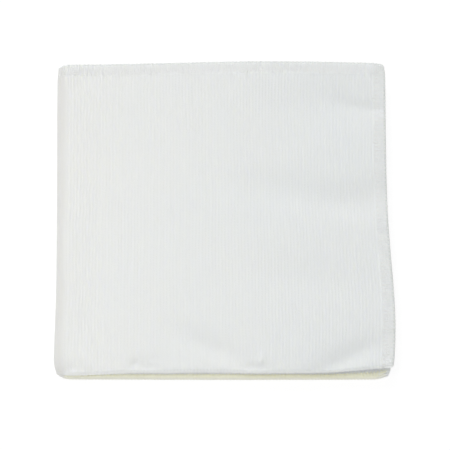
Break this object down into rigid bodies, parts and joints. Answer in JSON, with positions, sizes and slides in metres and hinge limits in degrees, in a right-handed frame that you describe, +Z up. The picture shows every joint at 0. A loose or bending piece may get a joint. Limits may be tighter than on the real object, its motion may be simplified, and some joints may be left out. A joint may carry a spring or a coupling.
{
  "type": "folded wiping cloth",
  "caption": "Square white ribbed cloth with overlocked edges, folded flat in quarters, for wiping, drying or polishing.",
  "frame": {"origin": "under the middle of the folded cloth's box, on the surface that it lies on", "axes": "+Z up, +X from the spine fold to the side hems, +Y from the front folds to the back hems"},
  "size_m": [0.1558, 0.154, 0.0102],
  "materials": {
    "white_knit": "soft, matt white ribbed knit with a slight nap"
  },
  "bodies": {
    "root": {"cloth": "white_knit"}
  },
  "joints": []
}
